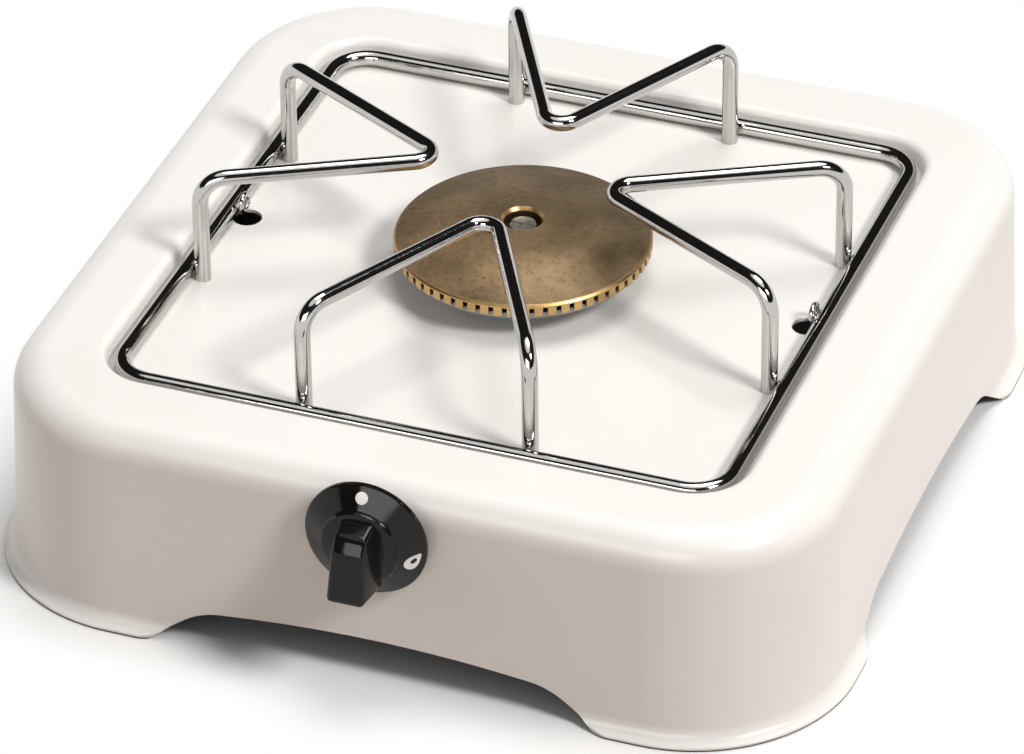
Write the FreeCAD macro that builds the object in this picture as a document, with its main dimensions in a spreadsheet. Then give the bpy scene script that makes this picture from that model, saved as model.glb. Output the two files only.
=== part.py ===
import FreeCAD, Part
import math
import operator
import os
import types
import Sketcher

from FreeCAD import Placement, Rotation, Vector

# Single burner gas stove. Lengths are in millimetres. The stove stands on the plane z = 0 with its
# centre at x = y = 0; the front with the knob looks along -Y and +X is to the right.

os.makedirs("parts", exist_ok=True)
doc = FreeCAD.newDocument("gas_stove")

SIZES = [
    # Casing
    ("wall_half", 140.6),
    ("wall_lean", 0.038),
    ("rim_height", 76.0),
    ("wall_corner", 48.6),
    ("gauge", 1.2),
    ("rim_radius", 12.0),
    ("rim_width", 31.1),
    ("well_depth", 7.0),
    ("lip_flare", 3.9),
    ("lip_height", 1.2),
    ("flare_height", 2.3),
    ("foot_width", 63.1),
    ("arch_rise", 18.3),
    ("deck_hole_radius", 5.0),
    # Pan support
    ("wire_radius", 2.75),
    ("ring_margin", 1.75),
    ("ring_clearance", 0.3),
    ("finger_spread", 39.0),
    ("finger_reach", 26.0),
    ("finger_height", 39.0),
    ("leg_bend", 9.0),
    ("tip_bend", 6.0),
    ("eye_radius", 3.0),
    ("eye_wire", 1.0),
    # Burner
    ("cap_radius", 43.2),
    ("cap_lift", 10.8),
    ("cap_rim", 4.0),
    ("cap_rise", 6.4),
    ("port_count", 60),
    ("port_width", 1.7),
    ("port_height", 3.0),
    ("throat_radius", 11.0),
    # Gas tap and knob, lying along the tap axis
    ("axis_drop", 9.3),
    ("tube_wall", 2.0),
    ("outlet_length", 13.0),
    ("outlet_radius", 5.0),
    ("bonnet_depth", 3.5),
    ("running_fit", 0.05),
    ("spindle_radius", 3.0),
    ("push_travel", 2.0),
    ("knob_radius", 20.8),
    ("knob_depth", 21.5),
    ("grip_width", 14.4),
    ("grip_tip", 11.0),
    ("grip_length", 25.2),
    ("grip_slope", 5.2),
    # Gas supply
    ("pipe_radius", 4.0),
    ("pipe_bend", 22.0),
    ("pipe_drop", 18.5),
    ("union_radius", 6.3),
]

sheet = doc.addObject("Spreadsheet::Sheet", "Sizes")
for row, (alias, value) in enumerate(SIZES, start=1):
    sheet.set("A{}".format(row), alias)
    sheet.set("B{}".format(row), str(value))
    sheet.setAlias("B{}".format(row), alias)
doc.recompute()


class Size:
    """A length that carries both its value and the formula that gives it from the sheet."""

    def __init__(self, value, formula):
        self.value = value
        self.formula = formula

    def __add__(self, other):
        return combine(self, "+", other)

    def __radd__(self, other):
        return combine(other, "+", self)

    def __sub__(self, other):
        return combine(self, "-", other)

    def __rsub__(self, other):
        return combine(other, "-", self)

    def __mul__(self, other):
        return combine(self, "*", other)

    def __rmul__(self, other):
        return combine(other, "*", self)

    def __neg__(self):
        return combine(0, "-", self)


OPERATIONS = {"+": operator.add, "-": operator.sub, "*": operator.mul}


def as_size(item):
    if isinstance(item, Size):
        return item
    return Size(item, "({})".format(item))


def combine(left, sign, right):
    left = as_size(left)
    right = as_size(right)
    value = OPERATIONS[sign](left.value, right.value)
    return Size(value, "({} {} {})".format(left.formula, sign, right.formula))


size = types.SimpleNamespace(
    **{alias: Size(sheet.get(alias), "Sizes.{}".format(alias)) for alias, _ in SIZES}
)


def bind(item, target, length):
    """Tie a property of an object to the sheet."""
    item.setExpression(target, as_size(length).formula)


# Places that several pieces share. Stations along the tap axis count forward from the stove's centre.

def wall_at(height):
    """Half the width over the walls at a height; they lean out a little towards the floor."""
    return size.wall_half + size.wall_lean * (size.rim_height - height)


lip_half = wall_at(0) + size.lip_flare
well_half = size.wall_half - size.rim_width
deck_height = size.rim_height - size.well_depth
deck_underside = deck_height - size.gauge

WELD_GAP = 0.02
ring_half = well_half - size.ring_margin - size.wire_radius
leg_line = ring_half - 2 * size.wire_radius - WELD_GAP

SCREW_CLEARANCE = 0.2
BURNER_SCREW_RADIUS = 2.0
BOLT_ANGLES = (90, 210, 330)
bolt_circle = size.throat_radius + 8.5
flange_radius = bolt_circle + 4.5

DECK_CLEARANCE = 0.5
tap_height = deck_underside - size.axis_drop
barrel_radius = size.axis_drop - DECK_CLEARANCE

TAP_STANDBACK = 4.3
COLLAR_DEPTH = 1.8
SPRING_LENGTH = 9.7
TONGUE_REACH = 4.0
PLUG_TAIL = 4.5
bonnet_front = wall_at(tap_height) - TAP_STANDBACK
body_front = bonnet_front - size.bonnet_depth
collar_rear = body_front - COLLAR_DEPTH
plug_front = collar_rear - SPRING_LENGTH
drive_depth = TONGUE_REACH + size.push_travel + 1.5
plug_rear = plug_front - drive_depth - PLUG_TAIL
seat_rear = plug_rear - 1
inlet_offset = plug_rear + 0.5 * PLUG_TAIL
inlet_reach = barrel_radius + 11.2
union_flats = 2 * (barrel_radius - 0.3)
union_corner = union_flats * (1 / math.sqrt(3))
tap_shoulder = inlet_offset - union_corner - DECK_CLEARANCE
jet_offset = tap_shoulder - size.outlet_length

BRACKET_GAUGE = 2.0
TAP_NUT_DEPTH = 5.0
tube_mouth = tap_shoulder - BRACKET_GAUGE - TAP_NUT_DEPTH - 1

KNOB_CLEARANCE = 0.5
knob_back = wall_at(tap_height - size.knob_radius) + size.push_travel + KNOB_CLEARANCE
knob_front = knob_back + size.knob_depth
spindle_tip = knob_front - size.grip_slope - 4

NOZZLE_INSET = 17.0
pipe_offset = size.wall_half - size.wall_corner - NOZZLE_INSET
nozzle_height = tap_height - size.pipe_drop


# Sketching and solid features

def new_body(label):
    body = doc.addObject("PartDesign::Body", label)
    body.Label = label
    return body


def new_sketch(body, role, offset=0):
    """Start a sketch on one of the body's own planes, moved along that plane's normal."""
    sketch = body.newObject("Sketcher::SketchObject", body.Name + "_sketch")
    support = next(item for item in body.Origin.OriginFeatures if item.Role == role)
    sketch.AttachmentSupport = [(support, "")]
    sketch.MapMode = "FlatFace"
    bind(sketch, "AttachmentOffset.Base.z", offset)
    sketch.Visibility = False
    doc.recompute()
    return sketch


def constrain(sketch, constraints):
    """Add (constraint, length) pairs; a length that comes from the sheet stays tied to it."""
    indices = sketch.addConstraint([constraint for constraint, _ in constraints])
    for index, (_, length) in zip(indices, constraints):
        if length is not None and "Sizes." in length.formula:
            bind(sketch, "Constraints[{}]".format(index), length)


def place_point(geometry, position, x, y):
    return [
        (Sketcher.Constraint("DistanceX", -1, 1, geometry, position, x.value), x),
        (Sketcher.Constraint("DistanceY", -1, 1, geometry, position, y.value), y),
    ]


def draw_circle(sketch, x, y, radius):
    x, y, radius = as_size(x), as_size(y), as_size(radius)
    circle = Part.Circle(Vector(x.value, y.value, 0), Vector(0, 0, 1), radius.value)
    index = sketch.addGeometry(circle)
    constraints = place_point(index, 3, x, y)
    constraints.append((Sketcher.Constraint("Radius", index, radius.value), radius))
    constrain(sketch, constraints)


def draw_outline(sketch, corners):
    """Draw a closed run of lines; a corner is (x, y) when sharp and (x, y, radius) when rounded."""
    corners = [tuple(as_size(item) for item in corner) for corner in corners]
    count = len(corners)
    points = [Vector(corner[0].value, corner[1].value, 0) for corner in corners]
    entries = list(points)
    exits = list(points)
    arcs = {}
    for i, corner in enumerate(corners):
        if len(corner) == 2:
            continue
        radius = corner[2].value
        back = (points[i - 1] - points[i]).normalize()
        ahead = (points[(i + 1) % count] - points[i]).normalize()
        half_angle = back.getAngle(ahead) / 2
        run = radius / math.tan(half_angle)
        entries[i] = points[i] + back * run
        exits[i] = points[i] + ahead * run
        centre = points[i] + (back + ahead).normalize() * (radius / math.sin(half_angle))
        turns_left = ahead.cross(back).z > 0
        ends = (entries[i], exits[i]) if turns_left else (exits[i], entries[i])
        angles = [math.atan2(end.y - centre.y, end.x - centre.x) for end in ends]
        if angles[1] < angles[0]:
            angles[1] += 2 * math.pi
        circle = Part.Circle(centre, Vector(0, 0, 1), radius)
        arcs[i] = (Part.ArcOfCircle(circle, *angles), turns_left)
    lines = [
        sketch.addGeometry(Part.LineSegment(exits[i], entries[(i + 1) % count]))
        for i in range(count)
    ]
    constraints = []
    for i, corner in enumerate(corners):
        before, after = lines[i - 1], lines[i]
        if i not in arcs:
            constraints.append((Sketcher.Constraint("Coincident", before, 2, after, 1), None))
            constraints += place_point(after, 1, corner[0], corner[1])
            continue
        curve, turns_left = arcs[i]
        arc = sketch.addGeometry(curve)
        point = sketch.addGeometry(Part.Point(points[i]), True)
        start, end = (1, 2) if turns_left else (2, 1)
        constraints += [
            (Sketcher.Constraint("Tangent", before, 2, arc, start), None),
            (Sketcher.Constraint("Tangent", arc, end, after, 1), None),
            (Sketcher.Constraint("Radius", arc, corner[2].value), corner[2]),
            (Sketcher.Constraint("PointOnObject", point, 1, before), None),
            (Sketcher.Constraint("PointOnObject", point, 1, after), None),
        ]
        constraints += place_point(point, 1, corner[0], corner[1])
    constrain(sketch, constraints)


def draw_rounded_rectangle(sketch, half_x, half_y, radius):
    """The outline starts at the middle of its right side."""
    draw_outline(sketch, [
        (half_x, 0),
        (half_x, half_y, radius),
        (-half_x, half_y, radius),
        (-half_x, -half_y, radius),
        (half_x, -half_y, radius),
    ])


def add_feature(body, kind, profile, **settings):
    """Add a solid feature to the body; one that takes material away has to change the volume."""
    before = 0 if body.Shape.isNull() else body.Shape.Volume
    item = body.newObject("PartDesign::" + kind, "{}_{}".format(body.Name, kind.lower()))
    item.Profile = profile
    for name, value in settings.items():
        if isinstance(value, Size):
            bind(item, name, value)
        else:
            setattr(item, name, value)
    doc.recompute()
    if kind in ("Pocket", "Groove") and body.Shape.Volume > before - 0.1:
        raise ValueError("{} takes nothing away from {}".format(item.Name, body.Label))
    return item


def pad(body, profile, length, **settings):
    return add_feature(body, "Pad", profile, Length=as_size(length), **settings)


def cut_both_ways(body, profile, length):
    return add_feature(body, "Pocket", profile, Length=as_size(length), SideType="Symmetric")


def revolve(body, corners):
    """Turn a half section, given as (radius, height), round the body's Z axis."""
    sketch = new_sketch(body, "XZ_Plane")
    draw_outline(sketch, corners)
    return add_feature(body, "Revolution", sketch, ReferenceAxis=(sketch, ["V_Axis"]), Angle=360)


def groove(body, corners):
    sketch = new_sketch(body, "XZ_Plane")
    draw_outline(sketch, corners)
    return add_feature(body, "Groove", sketch, ReferenceAxis=(sketch, ["V_Axis"]), Angle=360)


def repeat_round(body, feature, occurrences):
    """Repeat a feature evenly round the body's Z axis."""
    pattern = body.newObject("PartDesign::PolarPattern", body.Name + "_pattern")
    pattern.Originals = [feature]
    pattern.Axis = (next(item for item in body.Origin.OriginFeatures if item.Role == "Z_Axis"), [""])
    pattern.Angle = 360
    bind(pattern, "Occurrences", occurrences)
    body.Tip = pattern
    doc.recompute()
    return pattern


def round_edges(body, edges, radius):
    last_feature = body.Tip
    fillet = body.newObject("PartDesign::Fillet", body.Name + "_fillet")
    fillet.Base = (last_feature, edges)
    bind(fillet, "Radius", radius)
    doc.recompute()
    return fillet


def sweep(body, profile, spine):
    return add_feature(body, "AdditivePipe", profile, Spine=spine)


# Primitives and booleans

def primitive(kind, name, **sizes):
    item = doc.addObject("Part::" + kind, name)
    for target, length in sizes.items():
        bind(item, target, length)
    return item


def move(item, x=0, y=0, z=0, rotation=None):
    """Set an object's place; the three lengths stay tied to the sheet."""
    item.Placement = Placement(Vector(0, 0, 0), rotation or Rotation())
    for axis, length in zip("xyz", (x, y, z)):
        bind(item, "Placement.Base." + axis, length)
    return item


def boolean(kind, name, base, tool):
    item = doc.addObject("Part::" + kind, name)
    item.Base = base
    item.Tool = tool
    return item


def gather(label, members):
    group = doc.addObject("Part::Compound", label)
    group.Label = label
    group.Links = members
    return group


FRONTWARD = Rotation(Vector(1, 0, 0), 90)
REARWARD = Rotation(Vector(1, 0, 0), -90)
RIGHTWARD = Rotation(Vector(0, 1, 0), 90)


def on_tap_axis(item):
    """Turn a piece so that its own Z runs forward along the tap axis from the stove's centre."""
    return move(item, z=tap_height, rotation=FRONTWARD)


nodes = []

# Casing: one drawn sheet. Its section runs from the lip of the feet up the wall, over the rim and
# down into the well; it is carried round the rounded square of the wall, and the deck closes it.

casing = new_body("casing")
nodes.append(casing)

wall_line = new_sketch(casing, "XY_Plane")
draw_rounded_rectangle(wall_line, size.wall_half, size.wall_half, size.wall_corner)

WELL_BEND = 2.0
STEP_BEND = 3.0
STEP_RUN = 1.2
LIP_BEND = 0.6
FLARE_BEND = 4.8
FLARE_DROP = 0.7
FOOT_TREAD = 2.0
DECK_OVERLAP = 4.0

inner_rim = size.rim_height - size.gauge
inner_flare = size.flare_height - FLARE_DROP
section = new_sketch(casing, "XZ_Plane")
draw_outline(section, [
    (lip_half, 0),
    (lip_half, size.lip_height, LIP_BEND),
    (wall_at(size.flare_height), size.flare_height, FLARE_BEND),
    (size.wall_half, size.rim_height, size.rim_radius),
    (well_half + STEP_RUN, size.rim_height, STEP_BEND),
    (well_half, deck_height, WELL_BEND),
    (well_half - DECK_OVERLAP, deck_height),
    (well_half - DECK_OVERLAP, deck_height - size.gauge),
    (well_half + size.gauge, deck_height - size.gauge, WELL_BEND + size.gauge),
    (well_half + STEP_RUN + size.gauge, inner_rim, STEP_BEND - size.gauge),
    (wall_at(inner_rim) - size.gauge, inner_rim, size.rim_radius - size.gauge),
    (wall_at(inner_flare) - size.gauge, inner_flare, FLARE_BEND),
    (lip_half - FOOT_TREAD, 0),
])
sweep(casing, section, wall_line)

deck_half = well_half - DECK_OVERLAP + 1
deck = new_sketch(casing, "XY_Plane", deck_height - size.gauge)
draw_rounded_rectangle(deck, deck_half, deck_half, size.wall_corner - size.wall_half + deck_half)
pad(casing, deck, size.gauge)

# The arch of each side leaves a foot at every corner.
arch_half = size.wall_half - size.foot_width
arch_shoulder = arch_half - 17.5
arch_shoulder_height = size.arch_rise - 0.1 * arch_shoulder
for role in ("XZ_Plane", "YZ_Plane"):
    arch = new_sketch(casing, role)
    draw_outline(arch, [
        (-arch_half - 12, -6),
        (-arch_half - 12, -0.4),
        (-arch_half, -0.4, 9),
        (-arch_shoulder, arch_shoulder_height, 25),
        (0, size.arch_rise, 7.5 * arch_shoulder),
        (arch_shoulder, arch_shoulder_height, 25),
        (arch_half, -0.4, 9),
        (arch_half + 12, -0.4),
        (arch_half + 12, -6),
    ])
    cut_both_ways(casing, arch, 2 * lip_half + 20)

# The lip runs out into the wall where it ends at the arches.
lip_root = wall_at(0) + 0.1
lip_ends = new_sketch(casing, "XY_Plane", 3)
for side in (-1, 1):
    for end in (-1, 1):
        outline = [
            (end * (arch_half - 8), side * (lip_half + 1)),
            (end * (arch_half + 8), side * (lip_half + 1)),
            (end * (arch_half + 8), side * lip_half),
            (end * (arch_half + 2.5), side * lip_half, 8),
            (end * (arch_half - 7), side * lip_root),
            (end * (arch_half - 8), side * lip_root),
        ]
        draw_outline(lip_ends, outline)
        draw_outline(lip_ends, [(along, across, *bend) for across, along, *bend in outline])
cut_both_ways(casing, lip_ends, 8)

deck_holes = new_sketch(casing, "XY_Plane", deck_height)
draw_circle(deck_holes, 0, 0, size.throat_radius)
for side in (-1, 1):
    draw_circle(deck_holes, side * leg_line, 0, size.deck_hole_radius)
for angle in BOLT_ANGLES:
    draw_circle(
        deck_holes,
        bolt_circle * math.cos(math.radians(angle)),
        bolt_circle * math.sin(math.radians(angle)),
        BURNER_SCREW_RADIUS + SCREW_CLEARANCE,
    )
cut_both_ways(casing, deck_holes, 4 * size.gauge)

SPINDLE_HOLE_CLEARANCE = 2.0
spindle_hole = new_sketch(casing, "XZ_Plane", wall_at(tap_height))
draw_circle(spindle_hole, 0, tap_height, size.spindle_radius + SPINDLE_HOLE_CLEARANCE)
cut_both_ways(casing, spindle_hole, 6 * size.gauge)

nozzle_hole = new_sketch(casing, "XZ_Plane", -wall_at(nozzle_height))
draw_circle(nozzle_hole, pipe_offset, nozzle_height, size.union_radius + SCREW_CLEARANCE)
cut_both_ways(casing, nozzle_hole, 6 * size.gauge)

# Pan support: a closed square of round wire that lies in the well, four bent fingers welded to its
# inside, and two small wire eyes.

support_ring = new_body("support_ring")
nodes.append(support_ring)
ring_level = deck_height + size.ring_clearance + size.wire_radius
ring_bend = size.wall_corner - size.wall_half + ring_half
ring_line = new_sketch(support_ring, "XY_Plane", ring_level)
draw_rounded_rectangle(ring_line, ring_half, ring_half, ring_bend)
ring_wire = new_sketch(support_ring, "XZ_Plane")
draw_circle(ring_wire, ring_half, ring_level, size.wire_radius)
sweep(support_ring, ring_wire, ring_line)


def bend_wire(stations, radius):
    """Sweep a round wire through the stations; each is (point, bend radius or 0)."""
    points = [point for point, _ in stations]
    edges = []
    start = points[0]
    for i in range(1, len(points) - 1):
        back = (points[i - 1] - points[i]).normalize()
        ahead = (points[i + 1] - points[i]).normalize()
        half_angle = back.getAngle(ahead) / 2
        bend = stations[i][1]
        entry = points[i] + back * (bend / math.tan(half_angle))
        leave = points[i] + ahead * (bend / math.tan(half_angle))
        middle = points[i] + (back + ahead).normalize() * (bend / math.sin(half_angle) - bend)
        edges.append(Part.makeLine(start, entry))
        edges.append(Part.Arc(entry, middle, leave).toShape())
        start = leave
    edges.append(Part.makeLine(start, points[-1]))
    profile = Part.Wire(Part.makeCircle(radius, points[0], points[1] - points[0]))
    return Part.Wire(edges).makePipeShell([profile], True, False)


arm_level = deck_height.value + size.finger_height.value
foot_left = Vector(-size.finger_spread.value, -leg_line.value, deck_height.value)
foot_right = Vector(size.finger_spread.value, -leg_line.value, deck_height.value)
finger_shape = bend_wire(
    [
        (foot_left, 0),
        (Vector(foot_left.x, foot_left.y, arm_level), size.leg_bend.value),
        (Vector(0, -size.finger_reach.value, arm_level), size.tip_bend.value),
        (Vector(foot_right.x, foot_right.y, arm_level), size.leg_bend.value),
        (foot_right, 0),
    ],
    size.wire_radius.value,
)
for label, turn in (("front", 0), ("right", 90), ("back", 180), ("left", 270)):
    finger = doc.addObject("Part::Feature", "finger_" + label)
    finger.Label = "finger_" + label
    finger.Shape = finger_shape
    finger.Placement = Placement(Vector(0, 0, 0), Rotation(Vector(0, 0, 1), turn))
    nodes.append(finger)

EYE_SHIFT = 2.0
eyes = []
for name, side in (("left_eye", -1), ("right_eye", 1)):
    eye = primitive("Torus", name, Radius1=size.eye_radius, Radius2=size.eye_wire)
    eye_offset = ring_half - size.wire_radius - size.eye_wire - WELD_GAP
    eye_level = deck_height + size.ring_clearance + size.eye_radius + size.eye_wire
    move(eye, side * eye_offset, EYE_SHIFT, eye_level, RIGHTWARD)
    eyes.append(eye)
nodes.append(gather("support_eyes", eyes))

# Burner: a brass cap with slots under its edge sits on the rim of a cup; the cup stands on the deck
# and three screws from below clamp it to the mixing tube.

CAP_WALL = 3.4
CAP_BEVEL = 0.6
RECESS_RADIUS = 7.3
RECESS_BEVEL = 1.1
LEDGE_RADIUS = 6.4
CAP_SCREW_RADIUS = 2.5
LEDGE_DEPTH = 4.4
BOSS_DEPTH = 7.4

burner_cap = new_body("burner_cap")
nodes.append(burner_cap)
cap_base = deck_height + size.cap_lift
cap_edge = cap_base + size.cap_rim
cap_top = cap_edge + size.cap_rise
cap_inside = size.cap_radius - CAP_WALL
revolve(burner_cap, [
    (cap_inside, cap_base),
    (size.cap_radius, cap_base),
    (size.cap_radius, cap_edge - CAP_BEVEL),
    (size.cap_radius - CAP_BEVEL, cap_edge),
    (size.cap_radius * 0.5, cap_edge + size.cap_rise * 0.78, 60),
    (RECESS_RADIUS, cap_top),
    (LEDGE_RADIUS, cap_top - RECESS_BEVEL),
    (LEDGE_RADIUS, cap_top - LEDGE_DEPTH),
    (CAP_SCREW_RADIUS + SCREW_CLEARANCE, cap_top - LEDGE_DEPTH),
    (CAP_SCREW_RADIUS + SCREW_CLEARANCE, cap_top - BOSS_DEPTH),
    (size.throat_radius, cap_top - BOSS_DEPTH),
    (cap_inside, cap_edge - 2.2),
])
port = new_sketch(burner_cap, "XY_Plane", cap_base)
draw_outline(port, [
    (cap_inside - 1, size.port_width * -0.5),
    (size.cap_radius + 1, size.port_width * -0.5),
    (size.cap_radius + 1, size.port_width * 0.5),
    (cap_inside - 1, size.port_width * 0.5),
])
port_slot = cut_both_ways(burner_cap, port, 2 * size.port_height)
repeat_round(burner_cap, port_slot, size.port_count)

CAP_OVERHANG = 2.0
CUP_FLANGE = 3.0
CUP_FLOOR = 5.0
POST_RADIUS = 5.0
BRIDGE_WIDTH = 6.0

burner_cup = new_body("burner_cup")
nodes.append(burner_cup)
cup_radius = size.cap_radius - CAP_OVERHANG
cup_neck = size.throat_radius + 5
revolve(burner_cup, [
    (size.throat_radius, deck_height),
    (flange_radius, deck_height),
    (flange_radius, deck_height + CUP_FLANGE),
    (cup_neck, deck_height + CUP_FLANGE),
    (cup_radius, cap_base - 2),
    (cup_radius, cap_base),
    (cup_radius - 4.2, cap_base),
    (cup_radius - 4.2, cap_base - 1.2),
    (size.throat_radius + 2, deck_height + CUP_FLOOR, 4),
    (size.throat_radius, deck_height + CUP_FLOOR),
])
bridge = new_sketch(burner_cup, "XY_Plane", deck_height + 0.5)
draw_outline(bridge, [
    (-size.throat_radius - 1, -0.5 * BRIDGE_WIDTH),
    (size.throat_radius + 1, -0.5 * BRIDGE_WIDTH),
    (size.throat_radius + 1, 0.5 * BRIDGE_WIDTH),
    (-size.throat_radius - 1, 0.5 * BRIDGE_WIDTH),
])
pad(burner_cup, bridge, CUP_FLOOR - 0.5)
post = new_sketch(burner_cup, "XY_Plane", deck_height + CUP_FLOOR - 2)
draw_circle(post, 0, 0, POST_RADIUS)
post_top = cap_top - BOSS_DEPTH
pad(burner_cup, post, post_top - deck_height - CUP_FLOOR + 2)
tapped_hole = new_sketch(burner_cup, "XY_Plane", post_top)
draw_circle(tapped_hole, 0, 0, CAP_SCREW_RADIUS + size.running_fit)
CAP_SCREW_GRIP = 9.0
cut_both_ways(burner_cup, tapped_hole, 2 * CAP_SCREW_GRIP + 2)

bolt_holes = new_sketch(burner_cup, "XY_Plane", deck_height)
draw_circle(bolt_holes, 0, bolt_circle, BURNER_SCREW_RADIUS + size.running_fit)
bolt_hole = cut_both_ways(burner_cup, bolt_holes, 2 * CUP_FLANGE - 1)
repeat_round(burner_cup, bolt_hole, len(BOLT_ANGLES))

MIXER_FLANGE = 3.5
CHAMBER_WALL = 2.5
CHAMBER_SUMP = 1.2
WINDOW_LENGTH = 14.0
WINDOW_HEIGHT = 7.0

mixing_tube = new_body("mixing_tube")
nodes.append(mixing_tube)
tube_radius = size.axis_drop - DECK_CLEARANCE
tube_bore_radius = tube_radius - size.tube_wall
chamber_radius = size.throat_radius + CHAMBER_WALL
chamber_floor = tap_height - tube_radius - CHAMBER_SUMP - CHAMBER_WALL
revolve(mixing_tube, [
    (0, chamber_floor),
    (chamber_radius, chamber_floor, 3),
    (chamber_radius, deck_underside - MIXER_FLANGE),
    (flange_radius, deck_underside - MIXER_FLANGE),
    (flange_radius, deck_underside),
    (0, deck_underside),
])
tube = new_sketch(mixing_tube, "XZ_Plane")
draw_circle(tube, 0, tap_height, tube_radius)
pad(mixing_tube, tube, tube_mouth)
chamber = new_sketch(mixing_tube, "XY_Plane", deck_underside)
draw_circle(chamber, 0, 0, size.throat_radius)
cut_both_ways(mixing_tube, chamber, 2 * (deck_underside - chamber_floor - CHAMBER_WALL))
tube_bore = new_sketch(mixing_tube, "XZ_Plane", tube_mouth)
draw_circle(tube_bore, 0, tap_height, tube_bore_radius)
cut_both_ways(mixing_tube, tube_bore, 2 * tube_mouth - 2)
window = new_sketch(mixing_tube, "YZ_Plane")
window_front = 10 - tube_mouth
draw_outline(window, [
    (window_front, tap_height - 0.5 * WINDOW_HEIGHT, 2),
    (window_front + WINDOW_LENGTH, tap_height - 0.5 * WINDOW_HEIGHT, 2),
    (window_front + WINDOW_LENGTH, tap_height + 0.5 * WINDOW_HEIGHT, 2),
    (window_front, tap_height + 0.5 * WINDOW_HEIGHT, 2),
])
cut_both_ways(mixing_tube, window, 2 * tube_radius + 10)
flange_holes = new_sketch(mixing_tube, "XY_Plane", deck_underside)
draw_circle(flange_holes, 0, bolt_circle, BURNER_SCREW_RADIUS + SCREW_CLEARANCE)
flange_hole = cut_both_ways(mixing_tube, flange_holes, 2 * MIXER_FLANGE + 2)
repeat_round(mixing_tube, flange_hole, len(BOLT_ANGLES))


def slotted_screw(name, shank_radius, length, head_radius, head_height):
    """A screw with its head below z = 0 and its shank up along +Z."""
    slot_width = 0.3 * head_radius
    head = primitive("Cylinder", name + "_head", Radius=head_radius, Height=head_height)
    move(head, z=-as_size(head_height))
    shank = primitive("Cylinder", name + "_shank", Radius=shank_radius, Height=length)
    blank = boolean("Fuse", name + "_blank", head, shank)
    slot = primitive(
        "Box", name + "_slot", Length=3 * head_radius, Width=slot_width, Height=0.8 * head_height
    )
    move(slot, -1.5 * head_radius, -0.5 * slot_width, -1.4 * as_size(head_height))
    return boolean("Cut", name, blank, slot)


burner_screw_length = MIXER_FLANGE + size.gauge + CUP_FLANGE - 1
burner_screws = []
for angle in BOLT_ANGLES:
    name = "burner_screw_{}".format(angle)
    screw = slotted_screw(name, BURNER_SCREW_RADIUS, burner_screw_length, 3.5, 2.4)
    move(
        screw,
        bolt_circle * math.cos(math.radians(angle)),
        bolt_circle * math.sin(math.radians(angle)),
        deck_underside - MIXER_FLANGE,
    )
    burner_screws.append(screw)
nodes.append(gather("burner_screws", burner_screws))

cap_screw = slotted_screw(
    "cap_screw", CAP_SCREW_RADIUS, BOSS_DEPTH - LEDGE_DEPTH + CAP_SCREW_GRIP, 4.4, 2.2
)
move(cap_screw, z=cap_top - LEDGE_DEPTH, rotation=Rotation(Vector(1, 0, 0), 180))
nodes.append(cap_screw)

# Gas tap: a bracket under the deck carries the body by its outlet; the tapered plug turns in the
# body, and the spindle turns the plug while it can be pushed in against the spring.

tap_body = new_body("tap_body")
nodes.append(tap_body)
TAP_FLANGE_DEPTH = 4.0
TAP_SCREW_RADIUS = 1.5
tap_screw_offset = barrel_radius + 4.2
tap_flange_half = tap_screw_offset + 4
SEAT_REAR_RADIUS = 5.2
SEAT_FRONT_RADIUS = 6.0
GAS_BORE = 2.5
collar_radius = size.spindle_radius + 2.2
spring_room = collar_radius + 1.3
revolve(tap_body, [
    (0, jet_offset),
    (size.outlet_radius, jet_offset),
    (size.outlet_radius, tap_shoulder),
    (barrel_radius, tap_shoulder),
    (barrel_radius, body_front),
    (0, body_front),
])
tap_flange = new_sketch(tap_body, "XY_Plane", body_front - TAP_FLANGE_DEPTH)
draw_rounded_rectangle(tap_flange, tap_flange_half, barrel_radius, 4)
pad(tap_body, tap_flange, TAP_FLANGE_DEPTH)
inlet = new_sketch(tap_body, "YZ_Plane")
draw_circle(inlet, 0, inlet_offset, size.union_radius)
pad(tap_body, inlet, inlet_reach)
groove(tap_body, [
    (0, jet_offset),
    (GAS_BORE, jet_offset),
    (GAS_BORE, seat_rear),
    (SEAT_REAR_RADIUS, seat_rear),
    (SEAT_FRONT_RADIUS, plug_front),
    (spring_room, plug_front),
    (spring_room, body_front),
    (0, body_front),
])
inlet_bore = new_sketch(tap_body, "YZ_Plane", inlet_reach)
draw_circle(inlet_bore, 0, inlet_offset, GAS_BORE)
cut_both_ways(tap_body, inlet_bore, 2 * inlet_reach - 2 * SEAT_REAR_RADIUS)
tap_screw_holes = new_sketch(tap_body, "XY_Plane", body_front)
for side in (-1, 1):
    draw_circle(tap_screw_holes, side * tap_screw_offset, 0, TAP_SCREW_RADIUS + SCREW_CLEARANCE)
cut_both_ways(tap_body, tap_screw_holes, 2 * TAP_FLANGE_DEPTH + 1)
on_tap_axis(tap_body)

DRIVE_WIDTH = 2.2
DRIVE_CLEARANCE = 0.1
PORT_RADIUS = 1.4
tap_plug = new_body("tap_plug")
nodes.append(tap_plug)
revolve(tap_plug, [
    (0, plug_rear),
    (SEAT_REAR_RADIUS - size.running_fit, plug_rear),
    (SEAT_FRONT_RADIUS - size.running_fit, plug_front),
    (0, plug_front),
])
drive_slot = new_sketch(tap_plug, "XY_Plane", plug_front)
draw_outline(drive_slot, [
    (-8, -0.5 * DRIVE_WIDTH - DRIVE_CLEARANCE),
    (8, -0.5 * DRIVE_WIDTH - DRIVE_CLEARANCE),
    (8, 0.5 * DRIVE_WIDTH + DRIVE_CLEARANCE),
    (-8, 0.5 * DRIVE_WIDTH + DRIVE_CLEARANCE),
])
cut_both_ways(tap_plug, drive_slot, 2 * drive_depth)
plug_bore = new_sketch(tap_plug, "XY_Plane", plug_rear)
draw_circle(plug_bore, 0, 0, PORT_RADIUS + 0.4)
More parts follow.
